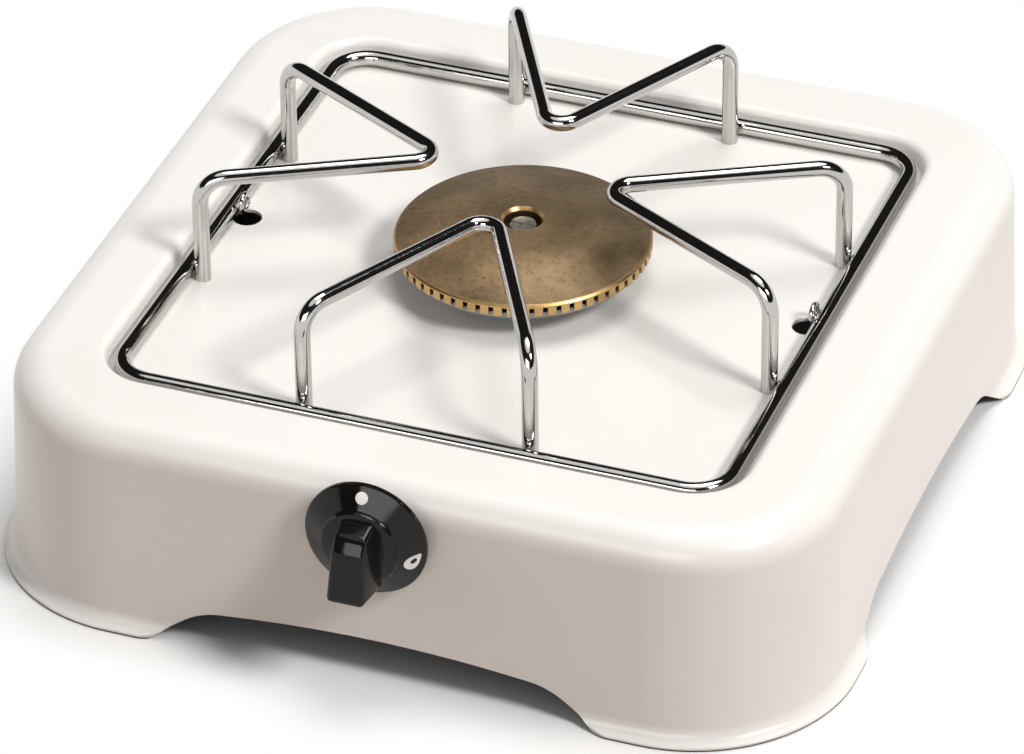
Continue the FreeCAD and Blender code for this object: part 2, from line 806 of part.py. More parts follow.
cut_both_ways(tap_plug, plug_bore, 2 * (inlet_offset - plug_rear))
plug_port = new_sketch(tap_plug, "XZ_Plane", 0.5 * SEAT_FRONT_RADIUS)
draw_circle(plug_port, 0, inlet_offset, PORT_RADIUS)
cut_both_ways(tap_plug, plug_port, SEAT_FRONT_RADIUS + 1)
on_tap_axis(tap_plug)

TONGUE_HALF = 4.0
tap_spindle = new_body("tap_spindle")
nodes.append(tap_spindle)
revolve(tap_spindle, [
    (0, collar_rear),
    (collar_radius, collar_rear),
    (collar_radius, body_front),
    (size.spindle_radius, body_front),
    (size.spindle_radius, spindle_tip - 0.8),
    (size.spindle_radius - 0.8, spindle_tip),
    (0, spindle_tip),
])
tongue = new_sketch(tap_spindle, "XY_Plane", plug_front - TONGUE_REACH)
draw_outline(tongue, [
    (-TONGUE_HALF, -0.5 * DRIVE_WIDTH),
    (TONGUE_HALF, -0.5 * DRIVE_WIDTH),
    (TONGUE_HALF, 0.5 * DRIVE_WIDTH),
    (-TONGUE_HALF, 0.5 * DRIVE_WIDTH),
])
pad(tap_spindle, tongue, collar_rear - plug_front + TONGUE_REACH + 0.5)
SOCKET_DEPTH = 2.5
flat_offset = size.spindle_radius - 1.2
flat = new_sketch(tap_spindle, "YZ_Plane")
draw_outline(flat, [
    (flat_offset, knob_back + SOCKET_DEPTH - 1),
    (2 * size.spindle_radius, knob_back + SOCKET_DEPTH - 1),
    (2 * size.spindle_radius, spindle_tip + 1),
    (flat_offset, spindle_tip + 1),
])
cut_both_ways(tap_spindle, flat, 4 * size.spindle_radius)
on_tap_axis(tap_spindle)

SPRING_INNER = 4.4
SPRING_OUTER = 5.4
tap_spring = new_body("tap_spring")
nodes.append(tap_spring)
revolve(tap_spring, [
    (SPRING_INNER, plug_front),
    (SPRING_OUTER, plug_front),
    (SPRING_OUTER, collar_rear),
    (SPRING_INNER, collar_rear),
])
on_tap_axis(tap_spring)

tap_bonnet = new_body("tap_bonnet")
nodes.append(tap_bonnet)
bonnet = new_sketch(tap_bonnet, "XY_Plane", body_front)
draw_rounded_rectangle(bonnet, tap_flange_half, barrel_radius, 4)
pad(tap_bonnet, bonnet, size.bonnet_depth)
bonnet_bore = new_sketch(tap_bonnet, "XY_Plane", body_front)
draw_circle(bonnet_bore, 0, 0, size.spindle_radius + size.running_fit)
for side in (-1, 1):
    draw_circle(bonnet_bore, side * tap_screw_offset, 0, TAP_SCREW_RADIUS + size.running_fit)
cut_both_ways(tap_bonnet, bonnet_bore, 2 * size.bonnet_depth + 1)
on_tap_axis(tap_bonnet)

bonnet_screws = []
for name, side in (("bonnet_screw_left", -1), ("bonnet_screw_right", 1)):
    screw = slotted_screw(name, TAP_SCREW_RADIUS, TAP_FLANGE_DEPTH + size.bonnet_depth - 0.5, 2.7, 1.8)
    move(
        screw, side * tap_screw_offset, TAP_FLANGE_DEPTH - body_front, tap_height, FRONTWARD
    )
    bonnet_screws.append(screw)
nodes.append(gather("bonnet_screws", bonnet_screws))


def hex_nut(name, across_flats, depth, bore):
    """A nut that stands on z = 0 with its bore along +Z."""
    corner_radius = as_size(across_flats) * (1 / math.sqrt(3))
    prism = primitive("Prism", name + "_prism", Circumradius=corner_radius, Height=depth)
    prism.Polygon = 6
    hole = primitive("Cylinder", name + "_hole", Radius=bore, Height=as_size(depth) + 2)
    move(hole, z=-1)
    return boolean("Cut", name, prism, hole)


BRACKET_HALF = 19.0
BRACKET_EAR = 8.0
tap_bracket = new_body("tap_bracket")
nodes.append(tap_bracket)
plate = new_sketch(tap_bracket, "XZ_Plane", tap_shoulder - BRACKET_GAUGE)
draw_outline(plate, [
    (-BRACKET_HALF, deck_underside),
    (-BRACKET_HALF, tap_height, 3),
    (-12, tap_height - 12, 3),
    (12, tap_height - 12, 3),
    (BRACKET_HALF, tap_height, 3),
    (BRACKET_HALF, deck_underside),
])
draw_circle(plate, 0, tap_height, size.outlet_radius + size.running_fit)
pad(tap_bracket, plate, BRACKET_GAUGE)
for side in (-1, 1):
    ear = new_sketch(tap_bracket, "XY_Plane", deck_underside - BRACKET_GAUGE)
    ear_rear = 20 - tap_shoulder
    draw_outline(ear, [
        (side * (BRACKET_HALF - BRACKET_EAR), -tap_shoulder),
        (side * BRACKET_HALF, -tap_shoulder),
        (side * BRACKET_HALF, ear_rear, 3),
        (side * (BRACKET_HALF - BRACKET_EAR), ear_rear, 3),
    ])
    pad(tap_bracket, ear, BRACKET_GAUGE)

tap_nut = hex_nut(
    "tap_nut", 2 * size.outlet_radius + 3, TAP_NUT_DEPTH, size.outlet_radius + size.running_fit
)
move(tap_nut, 0, BRACKET_GAUGE - tap_shoulder, tap_height, REARWARD)
nodes.append(tap_nut)

JET_HEX_DEPTH = 5.0
jet_hex = hex_nut("jet_hex", 8.0, JET_HEX_DEPTH, 0.6)
jet_stub = hex_nut("jet_stub_blank", 8.0, 7.0, 0.6)
jet_round = primitive("Cylinder", "jet_round", Radius=GAS_BORE - size.running_fit, Height=9)
move(jet_round, z=-1)
jet_thread = boolean("Common", "jet_thread", jet_stub, jet_round)
move(jet_hex, z=-JET_HEX_DEPTH)
injector = boolean("Fuse", "injector", jet_hex, jet_thread)
move(injector, 0, -jet_offset, tap_height, FRONTWARD)
nodes.append(injector)

# Knob: a skirt that carries the marks, a round hub and a bar grip that is wider and stands out
# further at its lower end; its socket sits on the flat of the spindle and a spring ring holds it tight.

control_knob = new_body("control_knob")
nodes.append(control_knob)
HUB_RADIUS = 14.0
HUB_DEPTH = 7.0
revolve(control_knob, [
    (0, knob_back),
    (size.knob_radius, knob_back),
    (size.knob_radius, knob_back + 1.7),
    (size.knob_radius - 1, knob_back + 2.5),
    (HUB_RADIUS + 0.3, knob_back + 3.0),
    (HUB_RADIUS, knob_back + HUB_DEPTH, 2),
    (0, knob_back + HUB_DEPTH),
])
grip = new_sketch(control_knob, "XY_Plane", knob_back + 4)
draw_outline(grip, [
    (size.grip_width * -0.5, size.grip_length * -0.5, 3),
    (size.grip_width * 0.5, size.grip_length * -0.5, 3),
    (size.grip_tip * 0.5, size.grip_length * 0.5, 3),
    (size.grip_tip * -0.5, size.grip_length * 0.5, 3),
])
pad(control_knob, grip, size.knob_depth - 4, TaperAngle=-1.5)
slope = new_sketch(control_knob, "YZ_Plane")
draw_outline(slope, [
    (size.grip_length * -0.33, knob_front),
    (size.grip_length * 0.3, knob_front - size.grip_slope),
    (size.grip_length * 0.6, knob_front - size.grip_slope - 0.3 * size.grip_length),
    (size.grip_length * 0.6, knob_front + 1),
    (size.grip_length * -0.33, knob_front + 1),
])
cut_both_ways(control_knob, slope, 2 * size.grip_width)
grip_foot = knob_back + HUB_DEPTH
round_edges(
    control_knob,
    [
        "Edge{}".format(number)
        for number, edge in enumerate(control_knob.Shape.Edges, start=1)
        if all(vertex.Point.z > grip_foot.value + 1 for vertex in edge.Vertexes)
    ],
    1.6,
)
boss_radius = size.spindle_radius + 2.5
clip_room = boss_radius + 2.5
hollow_radius = clip_room + 4
groove(control_knob, [
    (0, knob_back),
    (hollow_radius, knob_back),
    (hollow_radius, knob_back + SOCKET_DEPTH),
    (clip_room, knob_back + SOCKET_DEPTH),
    (clip_room, knob_back + HUB_DEPTH - 2),
    (boss_radius, knob_back + HUB_DEPTH - 2),
    (boss_radius, knob_back + SOCKET_DEPTH - 1),
    (0, knob_back + SOCKET_DEPTH - 1),
])
socket = new_sketch(control_knob, "XY_Plane", knob_back)
socket_radius = size.spindle_radius + size.running_fit
draw_outline(socket, [
    (-socket_radius, flat_offset + 0.05),
    (-socket_radius, -socket_radius, socket_radius - 0.01),
    (socket_radius, -socket_radius, socket_radius - 0.01),
    (socket_radius, flat_offset + 0.05),
])
cut_both_ways(control_knob, socket, 2 * (spindle_tip - knob_back + 0.5))
on_tap_axis(control_knob)

CLIP_GAUGE = 0.8
knob_clip = new_body("knob_clip")
nodes.append(knob_clip)
clip_rear = knob_back + SOCKET_DEPTH - 0.5
clip_inside = boss_radius + size.running_fit
revolve(knob_clip, [
    (clip_inside, clip_rear),
    (clip_inside + CLIP_GAUGE, clip_rear),
    (clip_inside + CLIP_GAUGE, clip_rear + 2.5),
    (clip_inside, clip_rear + 2.5),
])
clip_gap = new_sketch(knob_clip, "XY_Plane", clip_rear)
draw_outline(clip_gap, [
    (-1, 0),
    (1, 0),
    (1, 10),
    (-1, 10),
])
cut_both_ways(knob_clip, clip_gap, 8)
on_tap_axis(knob_clip)

# Gas supply: a bent pipe joins the inlet of the tap to the hose nozzle in the rear wall, with the same
# union nut at both ends. The nozzle reaches as far to the rear as the knob does to the front.

UNION_DEPTH = 14.0
UNION_OVERLAP = 6.3
nozzle_inner = wall_at(nozzle_height) - 21

PIPE_WALL = 1.0
DROP_START = 66.0
DROP_END = 36.0


def pipe_shape(radius):
    """From the tap to the right, round a bend to the rear, then down to the level of the nozzle."""
    side = pipe_offset.value
    front = -inlet_offset.value
    rear = nozzle_inner.value
    bend = size.pipe_bend.value
    upper = tap_height.value
    lower = nozzle_height.value
    stations = [
        (Vector(inlet_reach.value, front, upper), 0),
        (Vector(side, front, upper), bend),
        (Vector(side, rear - DROP_START, upper), bend),
        (Vector(side, rear - DROP_END, lower), bend),
        (Vector(side, rear, lower), 0),
    ]
    return bend_wire(stations, radius)


supply_pipe = doc.addObject("Part::Feature", "supply_pipe")
supply_pipe.Label = "supply_pipe"
supply_pipe.Shape = pipe_shape(size.pipe_radius.value).cut(pipe_shape(size.pipe_radius.value - PIPE_WALL))
nodes.append(supply_pipe)


def union_nut(name):
    """A nut whose wide bore starts at z = 0 and whose far end closes round the pipe."""
    wide = hex_nut(name + "_blank", union_flats, UNION_DEPTH, size.pipe_radius + size.running_fit)
    thread = primitive(
        "Cylinder", name + "_thread", Radius=size.union_radius + size.running_fit, Height=UNION_OVERLAP + 1
    )
    move(thread, z=-1)
    return boolean("Cut", name, wide, thread)


front_union = union_nut("front_union")
flats_level = RIGHTWARD.multiply(Rotation(Vector(0, 0, 1), 90))
move(front_union, inlet_reach - UNION_OVERLAP, -inlet_offset, tap_height, flats_level)
rear_union = union_nut("rear_union")
move(rear_union, pipe_offset, nozzle_inner + UNION_OVERLAP, nozzle_height, FRONTWARD)
nodes.append(gather("pipe_nuts", [front_union, rear_union]))

NOZZLE_FLATS = 19.0
NOZZLE_HEX = 5.0
TAIL_RADIUS = 4.3
BARB_RADIUS = 5.0
hose_nozzle = new_body("hose_nozzle")
nodes.append(hose_nozzle)
hex_seat = wall_at(nozzle_height - 0.5 * NOZZLE_FLATS)
hex_face = hex_seat + NOZZLE_HEX
tail_end = knob_front
BARB_COUNT = 3
BARB_PITCH = 4.0
BARB_LAND = 0.8
tail = [(TAIL_RADIUS, hex_face)]
for step in range(BARB_COUNT):
    barb = tail_end - BARB_PITCH * (BARB_COUNT - step)
    tail += [
        (TAIL_RADIUS, barb),
        (BARB_RADIUS, barb),
        (BARB_RADIUS, barb + BARB_LAND),
        (TAIL_RADIUS, barb + BARB_PITCH - 0.5),
    ]
revolve(hose_nozzle, [
    (GAS_BORE, nozzle_inner),
    (size.union_radius, nozzle_inner),
    (size.union_radius, hex_face),
    *tail,
    (TAIL_RADIUS, tail_end),
    (GAS_BORE, tail_end),
])
nozzle_hex = new_sketch(hose_nozzle, "XY_Plane", hex_seat)
draw_outline(nozzle_hex, [
    (
        NOZZLE_FLATS / math.sqrt(3) * math.cos(math.radians(60 * number)),
        NOZZLE_FLATS / math.sqrt(3) * math.sin(math.radians(60 * number)),
    )
    for number in range(6)
])
draw_circle(nozzle_hex, 0, 0, size.union_radius - 1)
pad(hose_nozzle, nozzle_hex, NOZZLE_HEX)
move(hose_nozzle, pipe_offset, 0, nozzle_height, REARWARD)

NOZZLE_NUT_DEPTH = 5.0
nozzle_nut = hex_nut("nozzle_nut", NOZZLE_FLATS, NOZZLE_NUT_DEPTH, size.union_radius + size.running_fit)
nut_seat = wall_at(nozzle_height + 0.5 * NOZZLE_FLATS) - size.gauge
move(nozzle_nut, pipe_offset, nut_seat - NOZZLE_NUT_DEPTH, nozzle_height, REARWARD)
nodes.append(nozzle_nut)

# Checks and export

doc.recompute()
for item in doc.Objects:
    if "Invalid" in item.State or "Error" in item.State:
        raise ValueError("{} did not build".format(item.Name))
for node in nodes:
    if node.Shape.isNull() or not node.Shape.isValid():
        raise ValueError("{} has no sound shape".format(node.Label))
    node.Shape.exportStep("parts/{}.step".format(node.Label))
    box = node.Shape.BoundBox
    print("{:16s} solids {} volume {:9.0f}  x {:7.1f} {:7.1f}  y {:7.1f} {:7.1f}  z {:6.1f} {:6.1f}".format(
        node.Label, len(node.Shape.Solids), node.Shape.Volume,
        box.XMin, box.XMax, box.YMin, box.YMax, box.ZMin, box.ZMax,
    ))
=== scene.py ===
from math import atan2, cos, radians, sin, tan

import bpy
from mathutils import Matrix, Vector


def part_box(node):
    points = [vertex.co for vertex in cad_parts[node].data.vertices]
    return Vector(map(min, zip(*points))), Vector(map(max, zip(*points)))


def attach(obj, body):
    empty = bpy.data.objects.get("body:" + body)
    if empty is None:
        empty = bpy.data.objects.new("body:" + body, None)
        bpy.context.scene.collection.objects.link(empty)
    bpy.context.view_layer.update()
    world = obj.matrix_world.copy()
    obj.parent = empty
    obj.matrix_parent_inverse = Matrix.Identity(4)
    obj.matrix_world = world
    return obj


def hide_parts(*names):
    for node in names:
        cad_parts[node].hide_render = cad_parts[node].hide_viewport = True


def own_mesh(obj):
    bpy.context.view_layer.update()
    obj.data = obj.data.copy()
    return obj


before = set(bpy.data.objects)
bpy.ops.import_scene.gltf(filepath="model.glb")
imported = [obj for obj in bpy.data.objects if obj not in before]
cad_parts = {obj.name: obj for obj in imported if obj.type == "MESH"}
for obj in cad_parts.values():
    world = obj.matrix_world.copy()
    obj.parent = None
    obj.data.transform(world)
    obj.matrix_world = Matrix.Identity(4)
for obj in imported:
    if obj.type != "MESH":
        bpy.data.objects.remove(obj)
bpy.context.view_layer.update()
bpy.context.scene.view_settings.view_transform = "Standard"


# Casing: one shell of deep-drawn sheet steel with a raised rim, a square well and four flared feet.
# Outside it has a warm-white vitreous enamel, its gloss softened by use, over a charcoal ground
# coat that is left bare on the inside and shows as a thin line at the trimmed edge. The charcoal is
# also painted shade: it goes on every face that points down, outside ones too, and on the walls'
# inner faces, so the casing is dark underneath. The thin line at the bottom is also a painted
# contact shadow along the floor.

class Amount:
    """A socket in an expression: each operation adds a Math node to the finish's tree."""

    def __init__(self, finish, socket):
        self.finish = finish
        self.socket = socket

    def maths(self, operation, first, second=None):
        sockets = {0: first}
        if second is not None:
            sockets[1] = second
        return self.finish.node("ShaderNodeMath", {"operation": operation}, sockets)

    def __add__(self, other):
        return self.maths("ADD", self, other)

    def __radd__(self, other):
        return self.maths("ADD", other, self)

    def __sub__(self, other):
        return self.maths("SUBTRACT", self, other)

    def __rsub__(self, other):
        return self.maths("SUBTRACT", other, self)

    def __mul__(self, other):
        return self.maths("MULTIPLY", self, other)

    def __rmul__(self, other):
        return self.maths("MULTIPLY", other, self)

    def __abs__(self):
        return self.maths("ABSOLUTE", self)

    def __or__(self, other):
        return self.maths("MAXIMUM", self, other)

    def __and__(self, other):
        return self.maths("MINIMUM", self, other)

    def step(self, low, high):
        """0 below low and 1 above high, with a smooth run between them; low may be the larger."""
        return self.finish.node(
            "ShaderNodeMapRange", {"interpolation_type": "SMOOTHSTEP"},
            {"Value": self, "From Min": low, "From Max": high},
        )


class Finish:
    """A material, or the world's light, that is built up node by node."""

    def __init__(self, name, library=bpy.data.materials):
        self.block = library.new(name)
        self.block.use_nodes = True
        self.tree = self.block.node_tree
        self.tree.nodes.clear()

    def node(self, kind, settings=None, sockets=None, output=0):
        """Adds a node, sets its settings first and then the values or links of its sockets."""
        made = self.tree.nodes.new(kind)
        for name, value in (settings or {}).items():
            setattr(made, name, value)
        for name, value in (sockets or {}).items():
            if isinstance(value, Amount):
                self.tree.links.new(value.socket, made.inputs[name])
            else:
                made.inputs[name].default_value = value
        return Amount(self, made.outputs[output]) if made.outputs else None

    def place(self):
        """The Object coordinates, in metres in the stove's frame."""
        return self.node("ShaderNodeTexCoord", output="Object")

    def axes(self, vector):
        """The three numbers of a vector."""
        apart = self.node("ShaderNodeSeparateXYZ", sockets={"Vector": vector})
        outputs = apart.socket.node.outputs
        return [Amount(self, outputs[axis]) for axis in "XYZ"]

    def noise(self, where, scale, detail=2.0, roughness=0.5):
        return self.node(
            "ShaderNodeTexNoise", {"noise_dimensions": "3D"},
            {"Vector": where, "Scale": scale, "Detail": detail, "Roughness": roughness}, "Fac",
        )

    def blend(self, amount, first, second):
        """One colour where amount is 0, the other where it is 1."""
        return self.node(
            "ShaderNodeMix", {"data_type": "RGBA", "clamp_factor": True},
            {0: amount, 6: first, 7: second}, 2,
        )

    def bump(self, height, depth, strength):
        """Height runs from 0 to 1, and depth is that rise in metres."""
        return self.node(
            "ShaderNodeBump", sockets={"Height": height, "Distance": depth, "Strength": strength},
        )

    def surface(self, **sockets):
        """Ends the finish in a Principled shader; a name's underscores stand for spaces."""
        shader = self.node(
            "ShaderNodeBsdfPrincipled",
            sockets={name.replace("_", " "): value for name, value in sockets.items()},
        )
        self.node("ShaderNodeOutputMaterial", sockets={"Surface": shader})

    def coat(self, *nodes):
        """Gives these CAD nodes the finish."""
        for name in nodes:
            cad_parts[name].material_slots[0].material = self.block


enamel = Finish("enamel")
where = enamel.place()
across, along, up = enamel.axes(where)
facing = enamel.node("ShaderNodeNewGeometry", output="Normal")
face_x, face_y, face_up = enamel.axes(facing)
INSIDE_WALL = 0.120
EDGE_LINE = (0.0007, 0.0002)
# Painted shade: charcoal on faces that point down and on the walls' inner faces, for the bare
# ground coat and the shade under the casing.
inward = (face_x * across + face_y * along).step(-0.002, -0.010)
far_out = (abs(across) | abs(along)).step(INSIDE_WALL - 0.001, INSIDE_WALL + 0.001)
inside = face_up.step(-0.25, -0.45) | (inward & far_out)
# Painted contact shadow: the lowest fraction of a millimetre is charcoal, for the bare trimmed edge
# and the dark line along the floor.
trimmed_edge_and_contact_shadow = up.step(*EDGE_LINE)
mottle = enamel.noise(where, 9.0, 3.0, 0.55).step(0.30, 0.72)
ripple = enamel.noise(where, 70.0, 2.0)
grain = enamel.noise(where, 900.0, 2.0)
specks = enamel.noise(where, 1500.0, 1.0).step(0.79, 0.84)
WARM_WHITE = (0.885, 0.866, 0.838, 1)
ROSY_WHITE = (0.868, 0.838, 0.806, 1)
SPECK = (0.52, 0.49, 0.45, 1)
# This charcoal is the bare ground coat and also painted shade.
GROUND_COAT_AND_SHADE = (0.030, 0.028, 0.027, 1)
white = enamel.blend(specks * 0.5, enamel.blend(mottle, WARM_WHITE, ROSY_WHITE), SPECK)
enamel.surface(
    Base_Color=enamel.blend(inside | trimmed_edge_and_contact_shadow, white, GROUND_COAT_AND_SHADE),
    Roughness=0.285 + ripple * 0.06 + inside * 0.10,
    Specular_IOR_Level=0.40,
    Coat_Weight=0.10,
    Coat_Roughness=0.06,
    Normal=enamel.bump(ripple * 0.85 + grain * 0.15, 0.00005, 0.6),
)
enamel.coat("casing")


# Burner cup and mixing tube: aluminium sand castings, the bowl above the deck and the venturi below
# it, clamped to the deck by three screws. Their skin is grainy from the mould. The bowl darkens
# towards its rim, partly soot from the flame and partly painted shade under the cap that keeps
# the ports dark.

cast = Finish("cast_aluminium")
where = cast.place()
skin = cast.noise(where, 1400.0, 3.0)
pores = cast.noise(where, 600.0, 1.0).step(0.66, 0.74)
cloud = cast.noise(where, 40.0, 3.0)
BOWL_FOOT = 0.068
BOWL_RIM = 0.082
# Soot and painted shade: the bowl grows dark towards its rim, under the cap.
soot_and_shade = cast.axes(where)[2].step(BOWL_FOOT, BOWL_RIM)
GREY_ALLOY = (0.56, 0.56, 0.56, 1)
PALE_ALLOY = (0.67, 0.665, 0.65, 1)
BOWL_SOOT_AND_SHADE = (0.055, 0.046, 0.040, 1)
PORE = (0.20, 0.20, 0.20, 1)
alloy = cast.blend(cloud, GREY_ALLOY, PALE_ALLOY)
sooted_and_shaded = cast.blend(soot_and_shade * (0.4 + cloud * 0.6), alloy, BOWL_SOOT_AND_SHADE)
cast.surface(
    Base_Color=cast.blend(pores * 0.6, sooted_and_shaded, PORE),
    Metallic=0.9,
    Roughness=0.42 + skin * 0.18,
    Normal=cast.bump(skin - pores * 0.5, 0.0002, 0.7),
)
cast.coat("burner_cup", "mixing_tube")


# Burner screws, cap screw, bonnet screws, bracket, spindle, spring, knob clip and supply pipe:
# steel, pressed, turned or bent, with a passivated zinc plate that shows a fine spangle and a faint
# yellow and blue bloom.

zinc = Finish("zinc_steel")
where = zinc.place()
crystals = zinc.node(
    "ShaderNodeTexVoronoi", {"feature": "F1"}, {"Vector": where, "Scale": 900.0}, "Color",
)
spangle = zinc.axes(crystals)[0]
bloom = zinc.noise(where, 55.0, 2.0)
SCRATCH_GRAIN = (300.0, 2600.0, 2600.0)
drawn = zinc.node("ShaderNodeMapping", sockets={"Vector": where, "Scale": SCRATCH_GRAIN})
scratch = zinc.noise(drawn, 1.0, 2.0)
BLUE_ZINC = (0.60, 0.61, 0.63, 1)
YELLOW_ZINC = (0.66, 0.63, 0.55, 1)
DARK_SPANGLE = (0.45, 0.46, 0.48, 1)
plate = zinc.blend(bloom.step(0.35, 0.65), BLUE_ZINC, YELLOW_ZINC)
zinc.surface(
    Base_Color=zinc.blend(spangle * 0.35, plate, DARK_SPANGLE),
    Metallic=1.0,
    Roughness=0.24 + spangle * 0.12 + scratch * 0.10,
    Normal=zinc.bump(scratch, 0.00003, 0.5),
)
zinc.coat(
    "burner_screws", "cap_screw", "bonnet_screws", "tap_bracket", "tap_spindle", "tap_spring",
    "knob_clip", "supply_pipe",
)


# Tap spring: a short coil of the same plated steel, wound cold, between the plug's face and the
# spindle's collar. It turns with the plug. The real coil shortens as the knob is pushed in; this
# one keeps its shape.

SPRING_LOW, SPRING_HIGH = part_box("tap_spring")
SPRING_LENGTH = SPRING_HIGH.y - SPRING_LOW.y
SPRING_BACK = Vector((0, SPRING_HIGH.y, (SPRING_LOW.z + SPRING_HIGH.z) / 2))
SPRING_WIRE = 0.0005
SPRING_TURNS = 4
bpy.ops.object.select_all(action="DESELECT")
bpy.ops.mesh.primitive_circle_add(
    vertices=16, radius=SPRING_WIRE, location=(SPRING_HIGH.x - SPRING_WIRE, 0, SPRING_WIRE),
    rotation=(radians(90), 0, 0),
)
spring = bpy.context.object
spring.name = "spring_coil"
bpy.ops.object.transform_apply(location=True, rotation=True, scale=True)
winding = spring.modifiers.new("winding", "SCREW")
winding.axis = "Z"
winding.angle = radians(360)
winding.screw_offset = (SPRING_LENGTH - 2 * SPRING_WIRE) / SPRING_TURNS
winding.iterations = SPRING_TURNS
winding.steps = 48
bpy.ops.object.modifier_apply(modifier="winding")
bpy.ops.object.mode_set(mode="EDIT")
bpy.ops.mesh.select_all(action="SELECT")
bpy.ops.mesh.fill_holes(sides=0)
bpy.ops.mesh.select_all(action="SELECT")
bpy.ops.mesh.normals_make_consistent(inside=False)
bpy.ops.object.mode_set(mode="OBJECT")
spring.matrix_world = Matrix.Translation(SPRING_BACK) @ Matrix.Rotation(radians(90), 4, "X")
bpy.ops.object.transform_apply(location=True, rotation=True, scale=True)
bpy.ops.object.shade_smooth_by_angle(angle=radians(40))
spring.data.materials.append(zinc.block)
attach(spring, "plug")
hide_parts("tap_spring")
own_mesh(spring)


# Tap, injector, unions and hose nozzle: turned from brass bar and screwed together, the tap held in
# its bracket and the nozzle in the rear wall. They are left as they come off the lathe, with the
# tool's fine rings, and browner where hands and gas have dulled them.

turned = Finish("turned_brass")
where = turned.place()
dulled = turned.noise(where, 60.0, 4.0, 0.6).step(0.42, 0.72)
TOOL_GRAIN = (60.0, 3200.0, 60.0)
feed = turned.node("ShaderNodeMapping", sockets={"Vector": where, "Scale": TOOL_GRAIN})
rings = turned.noise(feed, 1.0, 2.0)
BRIGHT_BRASS = (0.74, 0.57, 0.28, 1)
DULL_BRASS = (0.43, 0.31, 0.15, 1)
turned.surface(
    Base_Color=turned.blend(dulled, BRIGHT_BRASS, DULL_BRASS),
    Metallic=1.0,
    Roughness=0.20 + dulled * 0.22 + rings * 0.08,
    Normal=turned.bump(rings, 0.00003, 0.6),
)
turned.coat(
    "tap_body", "tap_plug", "tap_bonnet", "tap_nut", "injector", "pipe_nuts", "hose_nozzle",
    "nozzle_nut",
)


# Burner cap: a turned brass disc with a ring of gas ports cut under its edge, held by the screw in
# its middle hole. The flame has tarnished the top brown, with redder and greener stains; the rim,
# the teeth and the edge of the hole are still worn bright. The bright rim is weighted to the front
# and the hole's edge is bright all round, as painted highlights too. The hole's wall and the ports
# behind the teeth are painted near black as painted shade.

tarnish = Finish("tarnished_brass")
where = tarnish.place()
across, along, up = tarnish.axes(where)
radius = tarnish.node(
    "ShaderNodeVectorMath", {"operation": "LENGTH"},
    {0: tarnish.node("ShaderNodeCombineXYZ", sockets={"X": across, "Y": along})}, "Value",
)
CAP_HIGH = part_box("burner_cap")[1]
CAP_RADIUS = CAP_HIGH.x
CAP_TOP = CAP_HIGH.z
HOLE_EDGE = (0.0076, 0.0071)
HOLE_WALL = (0.0068, 0.0062)
blotch = tarnish.noise(where, 48.0, 6.0, 0.66)
stain = tarnish.noise(where, 120.0, 4.0, 0.65)
pitting = tarnish.noise(where, 420.0, 4.0, 0.7)
fleck = tarnish.noise(where, 900.0, 2.0)
lathe = tarnish.noise(
    tarnish.node("ShaderNodeCombineXYZ", sockets={"X": radius * 4200.0}), 1.0, 2.0,
)
DARK_TARNISH = (0.232, 0.160, 0.086, 1)
PALE_TARNISH = (0.385, 0.260, 0.145, 1)
RED_STAIN = (0.37, 0.20, 0.110, 1)
GREEN_STAIN = (0.165, 0.142, 0.078, 1)
PIT = (0.105, 0.080, 0.048, 1)
RIGHT_REAR_DARK = (0.100, 0.078, 0.046, 1)
SOOT_FLECK = (0.070, 0.052, 0.034, 1)
BRIGHT_GOLD = (0.72, 0.49, 0.20, 1)
DULL_GOLD = (0.50, 0.31, 0.12, 1)
RECESS_SHADE = (0.035, 0.026, 0.018, 1)
brown = tarnish.blend(blotch.step(0.36, 0.64), DARK_TARNISH, PALE_TARNISH)
red = tarnish.blend(stain.step(0.55, 0.72) * 0.50, brown, RED_STAIN)
green = tarnish.blend(stain.step(0.44, 0.28) * 0.60, red, GREEN_STAIN)
mottled = tarnish.blend(pitting.step(0.50, 0.68) * 0.45, green, PIT)
# The top is darker to the right and the rear, and the rim is painted brightest at the front as a
# painted highlight.
right_rear_darkening = (across * 0.9 + along * 0.6 + (blotch - 0.5) * 0.05).step(-0.034, 0.036)
right_rear_darkened = tarnish.blend(right_rear_darkening * 0.44, mottled, RIGHT_REAR_DARK)
soot = tarnish.blend(fleck.step(0.62, 0.72) * 0.6, right_rear_darkened, SOOT_FLECK)
# Painted highlight: the worn rim is bright mostly at the front.
front = along.step(0.022, -0.030)
rim = radius.step(CAP_RADIUS - 0.0013, CAP_RADIUS - 0.0005) * (0.25 + front * 0.75)
teeth = up.step(CAP_TOP - 0.0066, CAP_TOP - 0.0078)
# Wear and painted highlight: the hole's top edge is bright gold all round.
hole_edge_wear_and_highlight = radius.step(*HOLE_EDGE) & up.step(CAP_TOP - 0.0016, CAP_TOP - 0.0008)
worn_and_highlight = rim | teeth | hole_edge_wear_and_highlight
# Painted shade: the hole's wall and the ports behind the teeth are painted near black.
hollow = radius.step(*HOLE_WALL) & up.step(CAP_TOP - 0.0008, CAP_TOP - 0.0020)
behind_teeth = radius.step(CAP_RADIUS - 0.0003, CAP_RADIUS - 0.0008)
port_shade = behind_teeth & up.step(CAP_TOP - 0.0074, CAP_TOP - 0.0079)
gold = tarnish.blend(fleck, BRIGHT_GOLD, DULL_GOLD)
topside = tarnish.blend(worn_and_highlight * (0.60 + blotch * 0.5), soot, gold)
tarnish.surface(
    Base_Color=tarnish.blend((hollow | port_shade) * 0.85, topside, RECESS_SHADE),
    Metallic=0.9,
    Roughness=0.44 + pitting * 0.16 - worn_and_highlight * 0.18,
    Normal=tarnish.bump(lathe * 0.4 + pitting * 0.4 + fleck * 0.2, 0.00010, 0.7),
)
tarnish.coat("burner_cap")


